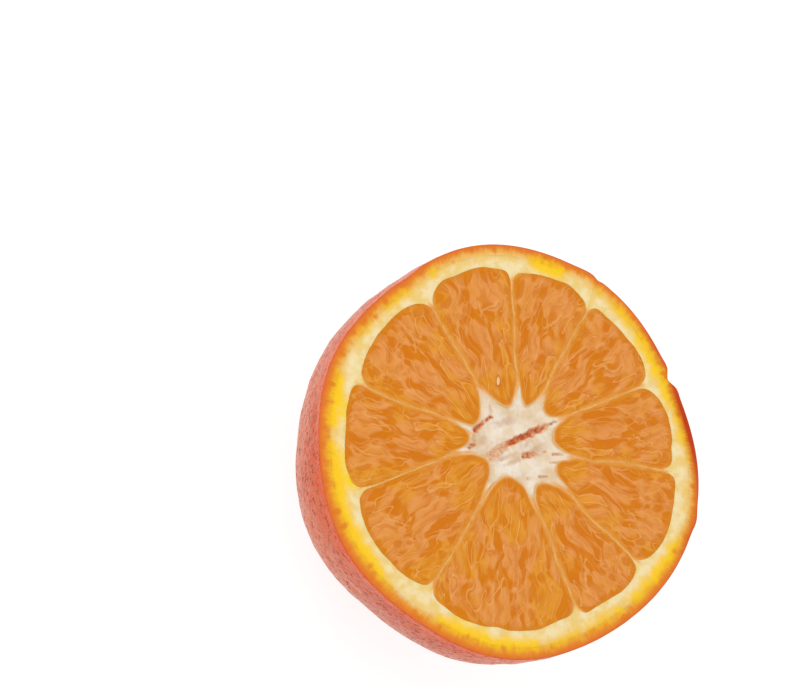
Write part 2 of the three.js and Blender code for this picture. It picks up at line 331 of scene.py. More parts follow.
def along_rim(tree, per_mm, long):
    """Coordinates that follow the rim: round a circle as wide as the cut, and in from the
    skin, drawn out that many times."""
    def vector(operation, inputs):
        return shade(tree, "VectorMath", inputs, operation=operation).outputs[0]

    circle = vector("NORMALIZE", {0: vector("MULTIPLY", {0: object_place(tree), 1: (1, 1, 0)})})
    wide = vector("SCALE", {0: circle, "Scale": CUT_RADIUS * per_mm})
    inward = times(stored(tree, "in_from_skin"), per_mm / long)
    return vector("ADD", {0: wide, 1: shade(tree, "CombineXYZ", {2: inward}).outputs[0]})


def rim_noise(tree, per_mm, long, detail):
    """Noise drawn out across the rim, from the skin inwards."""
    return noise_over(along_rim(tree, per_mm, long), 1.0, detail)


def off_middle(value, size):
    """A noise value made to swing both ways round 0, by about that much."""
    return times(minus(value, 0.5), size)


def cell_number(cells):
    """The fixed random number of each cell of a Voronoi pattern."""
    return shade(cells.id_data, "SeparateColor", {0: cells.outputs["Color"]}).outputs[0]


def bump(height, strength, deep):
    """The way a surface faces when a height from 0 to about 1 is relief that many mm deep."""
    inputs = {"Strength": strength, "Distance": deep * MM, "Height": height}
    return shade(height.id_data, "Bump", inputs).outputs[0]


def soft(weight, *radius):
    """How much light soaks in, and how many mm away its red, green and blue come out."""
    return {"Subsurface Weight": weight, "Subsurface Radius": radius, "Subsurface Scale": MM}


def cut_peel_colour(tree):
    """Colour of the cut peel by its distance in from the skin: a red-orange line, orange
    that reaches further in at each oil gland, golden yellow, then cream. The limits wander,
    and the yellow reaches further in where it is strong. On the side away from the key light
    the line and the orange are a deeper red: painted shade."""
    depth, strong, red = (stored(tree, key) for key in ("in_from_skin", "yellow", "shaded_red_edge"))
    streaks, threads = rim_noise(tree, 1.1, 2.5, 2.0), rim_noise(tree, 3.2, 6.0, 1.0)
    cells = cells_over(along_rim(tree, 0.66, 1.5), 1.0)
    off_gland, own = cells.outputs["Distance"], cell_number(cells)
    gland = times(ramp(off_gland, 0.62, 0.0), own)
    bent = plus(depth, off_middle(object_noise(tree, 0.45, 2.0), 1.5), off_middle(streaks, 0.7),
                off_middle(threads, 0.8))
    patchy = plus(strong, off_middle(object_noise(tree, 0.35, 2.0), 0.8))
    shown, through = ramp(patchy, 0.0, 0.95), ramp(patchy, 0.85, 1.3)
    cloudy = ramp(object_noise(tree, 0.4, 2.0), 0.35, 0.65)
    cream = mixed(cloudy, srgb(240, 206, 122), srgb(245, 225, 174))
    cream = tinted(cream, through, (253, 212, 20))
    golden = mixed(ramp(shown, 0.0, 0.45), srgb(242, 196, 106), srgb(245, 194, 48))
    golden = tinted(golden, ramp(shown, 0.35, 0.85), (254, 205, 0))
    orange = mixed(ramp(bent, 0.3, 1.7), srgb(226, 122, 38), srgb(234, 150, 46))
    orange = tinted(orange, gland, (220, 114, 28), 0.5)
    # Painted shade: a deeper red orange and edge line on the side away from the key light.
    orange = tinted(orange, red, (208, 98, 8))
    line = mixed(red, srgb(219, 104, 50), srgb(190, 58, 10))
    low = minus(bent, plus(times(red, 0.3), stored(tree, "thick_orange"), times(gland, 0.7)))
    colour = mixed(ramp(low, 0.75, 2.7), orange, golden)
    spot = times(ramp(off_gland, 0.5, 0.25), ramp(own, 0.35, 0.8))
    spot = times(spot, ramp(bent, 2.6, 1.6))
    colour = tinted(colour, spot, (224, 122, 20), 0.4)
    soft = plus(depth, off_middle(object_noise(tree, 0.3, 2.0), 1.5), off_middle(streaks, 0.6))
    fade = minus(soft, times(shown, 1.6))
    colour = mixed(ramp(fade, 1.4, 3.7), colour, cream)
    near = plus(depth, off_middle(streaks, 0.4), times(red, -0.8))
    return mixed(ramp(near, 0.0, 0.55), line, colour)


def cut_peel_material():
    """Moist cut peel, a little rough."""
    material, tree, surface = new_material("cut_peel")
    height = plus(object_noise(tree, 1.3), times(object_cells(tree, 0.8), 0.6))
    fill(tree, surface, {
        "Base Color": cut_peel_colour(tree), "Normal": bump(height, 0.35, 0.1),
        "Roughness": 0.5, "Specular IOR Level": 0.1, **soft(0.1, 0.9, 0.6, 0.2),
    })
    return material


def rind_material():
    """Waxy red-orange skin, pitted at each oil gland, with the pits a deeper red, a painted
    highlight on the ridges between them, and a pale bloom that shows where the skin is seen
    edge on."""
    material, tree, surface = new_material("rind")
    pits, fine = object_cells(tree, 0.84), object_cells(tree, 1.6)  # glands, and pores between
    up = shade(tree, "SeparateXYZ", {0: object_place(tree)}).outputs["Z"]
    by_cut = ramp(up, (HEIGHT - 3.5) * MM, HEIGHT * MM)
    broad = ramp(object_noise(tree, 0.05, 4.0), 0.35, 0.65)
    fleshy = ramp(object_noise(tree, 0.8), 0.42, 0.75)
    spots = times(ramp(pits, 0.44, 0.14), plus(times(by_cut, -0.7), 1.0))
    skin = mixed(broad, srgb(212, 66, 12), srgb(222, 82, 18))
    skin = tinted(skin, fleshy, (227, 98, 34), 0.45)
    # A paler orange on the ridges between the pits: a painted highlight.
    skin = tinted(skin, ramp(pits, 0.4, 0.62), (236, 124, 70), 0.2)
    skin = tinted(skin, stored(tree, "pit"), (198, 62, 10), 0.12)
    skin = tinted(skin, spots, (186, 44, 12), 0.22)
    skin = tinted(skin, by_cut, (234, 84, 0))
    rough = plus(times(ramp(object_noise(tree, 0.6), 0.3, 0.8), 0.14), 0.3)
    height = plus(ramp(pits, 0.0, 0.42), times(ramp(fine, 0.0, 0.5), 0.4))
    fill(tree, surface, {
        "Base Color": skin, "Normal": bump(height, 1.0, 0.34), "Roughness": rough,
        "Specular IOR Level": 0.26, "Coat Weight": 0.1, "Coat Roughness": 0.2,
        "Sheen Weight": 0.17, "Sheen Roughness": 0.4, "Sheen Tint": (1.0, 0.85, 0.55, 1.0),
        **soft(0.1, 1.5, 0.5, 0.2),
    })
    return material


# Where the yellow of the cut peel is strongest, and where its edge is darkest red as painted
# shade on the side away from the key light: turn, spread and strength.
YELLOW_PATCHES = [
    (257, 11, 1.2), (279, 15, 0.95), (236, 9, 1.1), (143.5, 6, 1), (321, 11, 1.1),
    (337, 10, 0.8), (352, 11, 0.5), (8, 12, 0.55), (30, 17, 0.64), (96, 32, 0.58),
    (196, 8, 0.5), (181, 5, 0.3), (211, 8, 0.4),
]
# Painted shade: the edge a deeper red on the side away from the key light.
SHADED_RED_PATCHES = [(78, 17, 1), (101, 8, 0.35), (48, 8, 0.3)]
THICK_ORANGE = (1, 0.32, 290)  # the orange goes further in on one side: a wave of that many mm


def patches(rows, turn):
    """The highest of several bells exp(-|d/s|^2.5) round the fruit."""
    return np.max([size * np.exp(-np.abs(away(turn, at) / spread) ** 2.5)
                   for at, spread, size in rows], axis=0)


def rim_values(turn, depth):
    """What the colour of the cut peel goes by, at those turns and depths in from the skin."""
    return {
        "in_from_skin": depth,
        "yellow": patches(YELLOW_PATCHES, turn),
        "shaded_red_edge": patches(SHADED_RED_PATCHES, turn),
        "thick_orange": wave(THICK_ORANGE, turn),
    }


ring_turns = np.concatenate([
    np.linspace(a, b, round(COLUMNS * (b - a) / (2 * math.pi)), endpoint=False)
    for a, b in zip(MEMBRANE_TURNS, [*MEMBRANE_TURNS[1:], MEMBRANE_TURNS[0] + 2 * math.pi])
])


def outer_point(turn, lean):
    """A point of the skin and the way it faces: lean goes from below straight down to the
    cut, as the angle on the spheroid below its widest plane."""
    depth = WIDEST_DEPTH + SPHEROID_HEIGHT * np.sin(lean)
    radius = wall_radius(turn, depth)
    point = spots_at(radius, turn, HEIGHT - depth)
    return point, spots_at(np.cos(lean), turn, -np.sin(lean))


def inner_wall(leans, thick):
    """Rows of points that far inside the skin, the one at a right angle closed on the axis."""
    rows = []
    for lean in leans:
        point, out = outer_point(ring_turns, np.full(len(ring_turns), min(lean, LOWEST_LEAN)))
        if lean == math.pi / 2:
            point, out = point * np.array([0.0, 0.0, 1.0]), np.array([0.0, 0.0, -1.0])
        rows.append(point - out * thick)
    return rows


def make_rind():
    """A closed shell: flat spot, pitted wall, band at the cut, and a plain inner wall. A pit's
    depth falls off as exp(-(d/r)^2) with the distance d to its gland."""
    turn = ring_turns[None, :]
    lean = np.linspace(LOWEST_LEAN, CUT_LEAN, WALL_ROWS)[:, None]
    lean[-1] = CUT_LEAN + CUT_CORNER[0] / SPHEROID_HEIGHT
    wall, out = outer_point(turn, lean + 0 * turn)
    up = wall[..., 2:]
    pit = np.exp(-(nearest_spot(wall, PIT_SPACING, 11) / PIT_RADIUS) ** 2)
    push = (layers(wall, SKIN_RELIEF) - PIT_DEEP * pit - RELIEF_SUNK)[..., None]
    fade = rising(up, FOOT_CLEAR, FOOT_FADE) * np.clip((HEIGHT - up) / EDGE_FADE, EDGE_RELIEF, 1)
    nick = nick_depth(turn, HEIGHT - wall[..., 2])
    wall = wall + out * push * fade - spots_at(nick, turn, 0 * nick)
    flat = wall[0] * np.array([0.5, 0.5, 0.0])
    edge = wall_radius(ring_turns, 0.0)
    nick_cut = nick_depth(ring_turns, 0.0)
    steps = np.array(CUT_STEPS)[:, None]
    radius = edge - nick_cut - steps * (RIND_THICK - nick_cut) / RIND_THICK
    radius[-1] = edge - RIND_THICK
    band = spots_at(radius, turn, HEIGHT + 0 * radius)
    band[1:, :, 2] += layers(band, CUT_RELIEF)[1:]
    band[0, :, 2] -= CUT_CORNER[1]
    inner = inner_wall(np.linspace(CUT_LEAN + INNER_START, math.pi / 2, INNER_ROWS), RIND_THICK)
    points = np.concatenate([[flat * 0, flat], wall, band, inner])
    skin = slice(2, WALL_ROWS + 2)
    depth = np.full(points.shape[:2], RIND_THICK)
    depth[:skin.stop] = -1.0
    depth[skin][nick > NICK_SHOWN] = nick[nick > NICK_SHOWN]
    depth[skin.stop:skin.stop + len(band)] = edge - radius
    pitted = np.zeros(points.shape[:2])
    pitted[skin] = pit
    around = np.broadcast_to(turn, depth.shape)
    values = {**rim_values(around.ravel(), depth.ravel()), "pit": pitted.ravel()}
    add_piece("rind", points.reshape(-1, 3), strip(*points.shape[:2]), values,
              ["peel_and_membranes"], "rind", rind_material(), cut_peel_material())


make_rind()

# ---- Pith, membranes and core ----
# One pale sponge that grew as one with the rind: it lines it, runs in between the ten sacs
# as thin double skins, and fills the middle as a white core. The knife has cut it level,
# and the core has sunk a little and split along its fibres.
MEMBRANE = 0.36  # thickness of the double skin between two sacs at the cut
LINER_GAP = 0.03  # from the rind's inner wall to the pith, below the cut
CORE_RADIUS = 6.0  # the sacs close in on the axis no nearer than this
CORNER_ROUND, TIP_ROUND, SIDE_ROUND = 2.8, 2.4, 5.0  # how far from a corner its curve starts
CORNER_POINTS, POCKET_POINTS = 13, 720
OUTER_BOW = 0.5  # how far a sac's outer side bows, as a share of its middle's extra radius
PULP_HEIGHT = LOWER_HEIGHT - 4.8  # the sacs end that far above the flat spot
SAC_FLOOR = 0.34  # the sac's floor, as a share of its width at the cut
# Where the ray of the core that each membrane grows out of ends.
CORE_RAYS = np.array([
    (8.6, 0.4), (10.5, 6.8), (5, 11), (-2, 10.5), (-7.6, 10.2),
    (-10.6, 6), (-12, -0.9), (-9.7, -9.6), (-3.3, -8.8), (4.9, -7.6),
])
# Each sac between its membrane and the next: radius of the pulp against the pith at the
# middle and at its two corners, and its tip at the core.
SACS = [
    (33.5, 33, 32.7, 6.9, 3), (35, 32.9, 34.4, 5, 6.9), (34, 33.2, 32.3, 1.3, 8),
    (34.2, 32.2, 34.2, -4.5, 8.6), (35.1, 33.6, 34.2, -5.5, 5.3), (34.9, 34.7, 31.9, -6.6, 2.6),
    (34, 32.8, 32.3, -6.5, -4.4), (34.1, 34.1, 32.8, -5.9, -5.8), (33.8, 33.1, 32.3, -0.4, -4.8),
    (34.3, 33.2, 32.2, 3.2, -2.8),
]
# Where the pith bulges in on the pulp or gives way to it: turn, move outwards, spread.
PITH_SWELLS = [
    (22, 0.3, 4), (71, -0.3, 2), (110, -0.3, 2.5), (136, 0.3, 3), (166, 0.6, 5),
    (176, -0.3, 3), (241.5, -0.35, 4), (253, 0.35, 4), (273, 0.3, 4), (319, 0.3, 3.5),
    (330, -0.5, 3.5), (344, 0.2, 3),
]
# The radii over which those swells and the membranes' waves show: start, rise, end, fall.
SWELL_RING, WAVE_RING = (28.0, 3.5, 37.0, 1.5), (4.7, 3.0, 35.5, 2.5)
MEMBRANE_WAVES = [(0.42, 5.5, 51), (0.14, 1.7, 53)]  # height and size in mm, and seed
CORE_DISC = 4.6  # the middle of the core is a disc of this radius; the rest is ten sectors
DISC_STEP, DISC_ROWS = 0.16, 30
CORE_DIP, CORE_DIP_RADIUS, CORE_DIP_EDGE = 0.5, 9.0, 4
# The core's folds, its grain and the crumbs where it is brown, as layers of noise.
CORE_FOLDS, CORE_GRAIN = [(0.42, 1.9, 71), (0.16, 0.7, 72)], [(0.07, 0.45, 73)]
BROWN_CRUMBS = [(0.22, 0.42, 74)]
FOLD_LONG = np.array([1.0, 0.3, 1.0])  # the folds are drawn out along Y
FOLD_SHARE, FOLD_SUNK = 0.8, 0.12  # how far they show, and how far they sink the core
CORE_WHITE = (15.0, -5.0)  # the radius where the core's white ends, and how it fades inwards
CORE_SKIN = 3.0  # mm past CORE_RADIUS over which thin membranes lose the core's white
JUICE_REACH = (20.0, -4.0)  # within that radius the pith has taken on the juice's colour
BESIDE_PULP = 0.5  # mm over which the pulp tints the pith beside it
THIN_WIDTH, THIN_FADE = 0.3, 0.9  # a membrane is thin at that width, and not that much wider
# Splits in the core: start, end, width, depth, and how brown its torn edges are.
CORE_SPLITS = [
    (-2, 9.2, -1.6, -1.2, 1.25, 0.9, 1), (-1.6, -0.2, -0.3, -5.4, 2, 0.35, 0.46),
    (2.2, 5.2, 1.4, 1.5, 1.15, 0.55, 0.72), (-7.6, -1, -6.7, -4, 0.9, 0.5, 0.8),
    (-6.9, -3.4, -5.9, -6.1, 1, 0.7, 1), (-5.9, -5.9, -3.4, -6.6, 0.8, 0.4, 0.5),
    (-4, -6, -3.3, -8.4, 0.9, 0.5, 0.75), (6.9, 5, 6.3, 2.8, 0.5, 0.35, 0.5),
    (4.2, 9.8, 3.3, 7.4, 0.6, 0.35, 0.4), (-2, 11.2, -2.1, 8.4, 0.6, 0.4, 0.5),
    (5.2, 8, 4.5, 6.2, 0.5, 0.25, 0.35), (-10, -0.3, -7.6, -1.4, 1, 0.2, 0.3),
    (6.4, 1.5, 5.6, 0.7, 0.7, 0.2, 0.35), (2.5, 6.9, 2.3, 6.1, 0.5, 0.3, 0.4),
]
# How torn the splits' edges are and how uneven their brown is, as layers of noise.
SPLIT_TORN, SPLIT_CRUMBS = [(0.15, 0.5, 61), (0.10, 1.3, 62)], [(0.5, 0.45, 63)]
CUP_ROWS, PITH_ROWS, LINER_ROWS = 9, 12, 24
RIM_TUCK = 2e-4  # how far in the wall's second row lies from the rim, as a share of the radius
LINE_POINTS = (40, 84)  # points of a membrane's middle line, inside and outside the core


def turned(spots, turn, side):
    """Spots moved sideways from a line at that turn by half a membrane."""
    return spots + side * MEMBRANE / 2 * np.array([-math.sin(turn), math.cos(turn)])


def evenly(path, count, closed=True):
    """Points at even steps along a path."""
    line = np.vstack([path, path[:1]]) if closed else path
    length = np.concatenate([[0], np.cumsum(np.linalg.norm(np.diff(line, axis=0), axis=1))])
    at = np.linspace(0, length[-1], count, endpoint=not closed)
    return np.stack([np.interp(at, length, line[:, axis]) for axis in (0, 1)], -1)


def pocket_outline(which):
    """Edge of a sac's pocket on the cut: a tip, two points of the core's rays, and a bowed
    outer side, joined by lines, each corner rounded by the curve (1-t)^2 a + 2t(1-t) b + t^2 c."""
    middle, first, last, x, y = SACS[which]
    after = (which + 1) % 10
    near, far = MEMBRANE_TURNS[which], MEMBRANE_TURNS[after] + (2 * math.pi if after == 0 else 0)
    share = np.linspace(0, 1, 5)
    radius = middle - OUTER_BOW * (middle - min(first, last)) * (2 * share - 1) ** 2
    radius[0], radius[-1] = first, last
    outer = spots_at(radius, near + (far - near) * share)
    outer[0], outer[-1] = turned(outer[0], near, 1), turned(outer[-1], far, -1)
    corners = np.vstack([[x, y], turned(CORE_RAYS[which], near, 1), outer,
                         turned(CORE_RAYS[after], far, -1)])
    rounds = np.array([TIP_ROUND, SIDE_ROUND, CORNER_ROUND, *[SIDE_ROUND] * 3, CORNER_ROUND,
                       SIDE_ROUND])

    def towards(side):
        gap = np.linalg.norm(side - corners, axis=1)
        return corners + (side - corners) * (np.minimum(rounds, gap / 2) / gap)[:, None]

    before, following = towards(np.roll(corners, 1, axis=0)), towards(np.roll(corners, -1, axis=0))
    t = np.linspace(0, 1, CORNER_POINTS)[None, :, None]
    bend = ((1 - t) ** 2 * before[:, None] + 2 * t * (1 - t) * corners[:, None]
            + t ** 2 * following[:, None])
    return bend.reshape(-1, 2)


def wavy(spots):
    """Spots of the cut moved by up to half a mm by smooth noise, as no membrane is quite
    straight, and by the swells of the pith near the rim. Each shows between its own radii."""
    radius = np.linalg.norm(spots, axis=-1, keepdims=True)
    flat = np.concatenate([spots, 0 * radius], -1)

    def within(start, rise, end, fall):
        return rising(radius, start, rise) * rising(radius, end, -fall)

    move = np.stack([layers(flat, MEMBRANE_WAVES, axis) for axis in (0, 1)], -1)
    turn = np.arctan2(spots[..., 1], spots[..., 0])
    swell = sum(size * np.exp(-(away(turn, at) / spread) ** 2) for at, size, spread in PITH_SWELLS)
    return (spots + move * within(*WAVE_RING)
            + spots / radius * swell[..., None] * within(*SWELL_RING))


def reach(spots, middle, outline):
    """Distance from the middle of an outline to its edge, in the direction of each spot."""
    off = outline - middle
    turn = np.arctan2(off[:, 1], off[:, 0])
    order = np.argsort(turn)
    want = np.arctan2(spots[..., 1] - middle[1], spots[..., 0] - middle[0])
    return np.interp(want, turn[order], np.linalg.norm(off, axis=1)[order], period=2 * math.pi)


def split_depth(x, y):
    """Depth below the core's surface, and brownness: each split is a lens-shaped slit that
    narrows downwards, with edges torn by noise and brown beside it."""
    depth, brown = 0 * x, 0 * x
    flat = np.stack([x, y, 0 * x], -1)
    ragged = layers(flat, SPLIT_TORN)
    crumbs = 0.8 + layers(flat, SPLIT_CRUMBS)
    for x0, y0, x1, y1, width, deep, tint in CORE_SPLITS:
        long = math.hypot(x1 - x0, y1 - y0)
        ux, uy = (x1 - x0) / long, (y1 - y0) / long
        along = ((x - x0) * ux + (y - y0) * uy) / long
        aside = np.abs((y - y0) * ux - (x - x0) * uy + ragged)
        lens = np.sqrt(np.clip(4 * along * (1 - along), 0.0, 1))
        half = 0.5 * width * (0.4 + 0.6 * lens)
        depth = np.maximum(depth, deep * np.clip(1 - (aside / half) ** 2, 0, 1) * lens ** 2)
        near = np.exp(-(np.clip(aside - 0.35 * half, 0, None) / (0.42 * width)) ** 2)
        brown = np.maximum(brown, tint * near * crumbs * np.clip(lens * 1.8 - 0.2, 0, 1))
    return depth, np.clip(brown, 0, 1)


def face_height(x, y):
    """Height of the cut pith: level, but sunk and creased along its fibres in the core, split
    there, and a little rough all over. Also how brown it is, and how low its folds lie, which
    sets the painted shade in them."""
    flat = np.stack([x, y, 0 * x], -1)
    core = np.exp(-(np.hypot(x, y) / CORE_DIP_RADIUS) ** CORE_DIP_EDGE)
    folds = layers(flat * FOLD_LONG, CORE_FOLDS) + layers(flat, CORE_GRAIN)
    depth, brown = split_depth(x, y)
    height = (HEIGHT + (FOLD_SHARE * folds - FOLD_SUNK - CORE_DIP) * core
              + layers(flat, BROWN_CRUMBS) * brown - depth)
    low = np.clip(0.5 - folds / 0.7, 0, 1) * core
    return height + layers(flat, CUT_RELIEF) * (1 - core), brown, low


def on_face(spots):
    """Spots of the cut, put at the height of the cut pith."""
    height = face_height(spots[..., 0], spots[..., 1])[0]
    return np.concatenate([spots, height[..., None]], -1)


def pith_material():
    """Sponge: the rind's own bands at the rim, then membranes that the juice shines through,
    and a white core with painted shade in its folds and browned splits."""
    material, tree, surface = new_material("pith")
    grain, brown = object_noise(tree, 1.3), stored(tree, "brown")
    broad = ramp(object_noise(tree, 0.25, 2.0), 0.35, 0.7)
    clean = mixed(broad, srgb(243, 232, 215), srgb(229, 203, 165))
    clean = tinted(clean, ramp(grain, 0.4, 0.7), (224, 188, 154), 0.25)
    # Darker beige where the core's folds lie low: painted shade.
    painted_crease_shade = ramp(stored(tree, "fold_shade"), 0.45, 0.95)
    clean = tinted(clean, painted_crease_shade, (209, 167, 132), 0.7)
    clean = tinted(clean, stored(tree, "beside_pulp"), (233, 190, 128), 0.45)
    cloudy = ramp(object_noise(tree, 0.5), 0.35, 0.65)
    skin = mixed(cloudy, srgb(237, 156, 70), srgb(243, 174, 96))
    colour = mixed(stored(tree, "inner"), cut_peel_colour(tree), skin)
    colour = mixed(stored(tree, "thin"), colour, skin)
    colour = mixed(stored(tree, "core"), colour, clean)
    crumb = ramp(object_cells(tree, 1.9), 0.1, 0.6)
    torn = mixed(crumb, srgb(178, 62, 22), srgb(214, 108, 54))
    torn = tinted(torn, ramp(grain, 0.5, 0.72), (228, 158, 104))
    stained = mixed(crumb, srgb(212, 140, 96), srgb(230, 180, 138))
    colour = mixed(ramp(brown, 0.05, 0.45), colour, stained)
    colour = mixed(ramp(brown, 0.4, 0.85), colour, torn)
    height = plus(grain, times(object_cells(tree, 2.2), 0.5))
    fill(tree, surface, {
        "Base Color": colour, "Normal": bump(height, 0.4, 0.12),
        "Roughness": 0.5, "Specular IOR Level": 0.25, **soft(0.3, 1.2, 0.8, 0.4),
    })
    return material


def sac_edge(which):
    """The wavy edge of a pocket and the spot that its grids are drawn round."""
    outline = evenly(pocket_outline(which), POCKET_POINTS)
    return wavy(outline), outline.mean(axis=0)


def drawn_in(spots, share):
    """Spots moved to CORE_RADIUS + (r - CORE_RADIUS) * share at their own turn, as the fruit
    narrows with depth."""
    radius = np.linalg.norm(spots, axis=-1, keepdims=True)
    return spots / radius * (CORE_RADIUS + (radius - CORE_RADIUS) * share)


def sac_side(edge, count):
    """Rows of a sac's side below the cut. Each is its edge drawn in by a cosine at a height
    that follows a sine, as they run round a spheroid widest a little below the cut."""
    widest = 1 / math.sqrt(1 - (WIDEST_DEPTH / PULP_HEIGHT) ** 2)
    lean = np.linspace(-math.asin(WIDEST_DEPTH / PULP_HEIGHT), math.acos(SAC_FLOOR / widest), count)
    shares, heights = widest * np.cos(lean), LOWER_HEIGHT - PULP_HEIGHT * np.sin(lean)
    return [np.concatenate([drawn_in(edge, share / shares[0]), np.full((len(edge), 1), height)], -1)
            for share, height in zip(shares[1:], heights[1:])]


def with_floor(rows):
    """Rows closed by two more: one half way to the middle of the last, and one at the middle."""
    middle = rows[-1].mean(axis=0)
    return np.array([*rows, middle + (rows[-1] - middle) * 0.5, 0 * rows[-1] + middle])


def cut_borders():
    """The border of each of ten sectors of cut face: out along a membrane's middle line, along
    the rind, back along the next line and round the core's disc. Also the rings of points
    round the disc and at the rind."""
    core_turns = np.arctan2(CORE_RAYS[:, 1], CORE_RAYS[:, 0])
    disc = spots_at(CORE_DISC, core_turns)
    rim = spots_at(wall_radius(ring_turns, 0.0) - RIND_THICK, ring_turns)
    rim = np.vstack([rim, rim[:1]])
    starts = [*np.searchsorted(ring_turns, MEMBRANE_TURNS - 1e-9), len(ring_turns)]
    lines, borders, ring = [], [], []
    for which, ray in enumerate(CORE_RAYS):
        end = rim[starts[which]]
        line = wavy(np.vstack([
            evenly(np.stack([disc[which], ray]), LINE_POINTS[0], closed=False),
            evenly(np.stack([ray, end]), LINE_POINTS[1], closed=False)[1:],
        ]))
        line[0], line[-1] = disc[which], end
        lines.append(line)
    for which, line in enumerate(lines):
        after = (which + 1) % 10
        sweep = (core_turns[after] - core_turns[which]) % (2 * math.pi)
        along = np.linspace(0, 1, max(12, round(sweep * CORE_DISC / DISC_STEP)))
        arc = spots_at(CORE_DISC, core_turns[which] + sweep * along)
        arc[0], arc[-1] = disc[which], disc[after]
        ring.append(arc[:-1])
        outer = rim[starts[which] + 1:starts[which + 1] + 1]
        borders.append(np.vstack([line, outer, lines[after][::-1][1:], arc[::-1][1:-1]]))
    return borders, np.vstack(ring), rim[:-1]


def sector_face(border, outline, middle):
    """The cut face from a pocket's edge out to the border, with a first and a last row close
    to their edges, which keeps those crisp. Also the pocket's edge in line with the border,
    how thin the membrane is there, and how far each point lies from the pulp."""
    off = border - middle
    way = off / np.linalg.norm(off, axis=1, keepdims=True)
    inner = middle + way * reach(border, middle, outline)[:, None]
    wide = np.linalg.norm(border - inner, axis=1)
    first = np.clip(EDGE_STEP / wide, 0, 0.2)[None, :]
    share = first + (1 - 2 * first) * np.linspace(0, 1, PITH_ROWS)[:, None]
    share = np.vstack([0 * first, share, 1 + 0 * first])
    spots = inner * (1 - share[..., None]) + border * share[..., None]
    thin = eased(1 - rising(wide, THIN_WIDTH, THIN_FADE))
    return on_face(spots), inner, thin, share * wide


def make_pith():
    """A closed body: the core's disc, ten sectors of cut face from the disc out to the rind,
    each with its pocket, and the outer wall that lies against the rind."""
    points, faces, thin, off_pulp = [], [], [], []

    def add(grid, thinness=0.0, from_pulp=9.0, order=1):
        faces.append(strip(*grid.shape[:2], sum(map(len, points)))[:, ::order])
        points.append(grid.reshape(-1, 3))
        thin.append(np.broadcast_to(thinness, grid.shape[:2]).ravel())
        off_pulp.append(np.broadcast_to(from_pulp, grid.shape[:2]).ravel())

    borders, ring, rim = cut_borders()
    for which, border in enumerate(borders):
        face, inner, thinness, from_pulp = sector_face(border, *sac_edge(which))
        add(face, thinness, from_pulp, order=-1)
        add(with_floor([face[0], *sac_side(inner, CUP_ROWS)]))
    add(on_face(ring * np.linspace(1, 0, DISC_ROWS)[:, None, None]))
    wall = inner_wall(np.linspace(math.pi / 2, CUT_LEAN, LINER_ROWS), RIND_THICK + LINER_GAP)
    top = on_face(rim)
    below = top * np.array([1 - RIM_TUCK, 1 - RIM_TUCK, 1.0]) - np.array([0.0, 0.0, EDGE_STEP])
    add(np.array([*wall[:-1], below, top]))
    spots = np.vstack(points)
    turn = np.arctan2(spots[:, 1], spots[:, 0])
    radius = np.hypot(spots[:, 0], spots[:, 1])
    _, brown, fold_shade = face_height(spots[:, 0], spots[:, 1])
    thinness = np.concatenate(thin)
    core = rising(radius, *CORE_WHITE) * (1 - thinness * rising(radius, CORE_RADIUS, CORE_SKIN))
    add_piece("pith_and_membranes", spots, np.vstack(faces), {
        **rim_values(turn, wall_radius(turn, 0.0) - radius),
        "thin": thinness,
        "core": eased(core),
        "inner": rising(radius, *JUICE_REACH),
        "brown": brown,
        # how low the core's folds lie, for the painted shade in them
        "fold_shade": fold_shade,
        "beside_pulp": np.exp(-np.concatenate(off_pulp) / BESIDE_PULP),
    }, ["peel_and_membranes"], "pith", pith_material())


make_pith()

# ---- Pulp ----
# Ten sacs packed with spindles of juice that lie towards the core. The knife opened them
# all, so the cut is wet, with the spindles' thin skins standing up as pale lines.
PULP_GAP = 0.12  # from the pulp to its membranes, below the cut
PULP_AROUND, SIDE_ROWS = 400, 8
# The rings of points on the cut, as shares of the way from a sac's middle to its edge.
RING_SHARES = [*np.linspace(0, 0.96, 70), *np.linspace(0.968, 0.9985, 5), 1.0]
SPINDLE_LONG, SPINDLE_WIDE = 9.0, 2.7
# How the spindles wander along and across, and the relief on them, as layers of noise.
BEND_ALONG, BEND_ACROSS = [(1.6, 6.0, 0), (0.4, 1.8, 3)], [(1.1, 4.5, 1), (0.25, 1.3, 2)]
PULP_LUMPS = [(0.05, 0.9, 7), (0.09, 2.2, 8)]
PULP_SWELL, PULP_SUNK, PULP_TOP = 0.12, 0.02, 0.31  # mm; no pulp stands higher than the last
FLECK, FLECK_TURN = (-13.1, 2.6), -0.5  # a pale fleck with a darker orange rim in the sixth sac
FLECK_LONG, FLECK_WIDE = 1.0, 0.4


def spindles(along, across, seed):
    """Distances to the nearest and next of one random spot in each cell of a grid, in cells,
    and a fixed random number for the nearest."""
    cell_a, cell_b = np.floor(along), np.floor(across)
    near, after, tone = np.full(along.shape, 9.0), np.full(along.shape, 9.0), 0 * along
    for step_a, step_b in np.ndindex(3, 3):
        a, b = cell_a + step_a - 1, cell_b + step_b - 1
        spot_a, spot_b, own = (hashed(a, b, 0 * a, seed + k) for k in range(3))
        gap = np.hypot(a + 0.08 + 0.84 * spot_a - along, b + 0.08 + 0.84 * spot_b - across)
        closer = gap < near
        after = np.where(closer, near, np.minimum(after, gap))
        tone = np.where(closer, own, tone)
        near = np.where(closer, gap, near)
    return near, after, tone


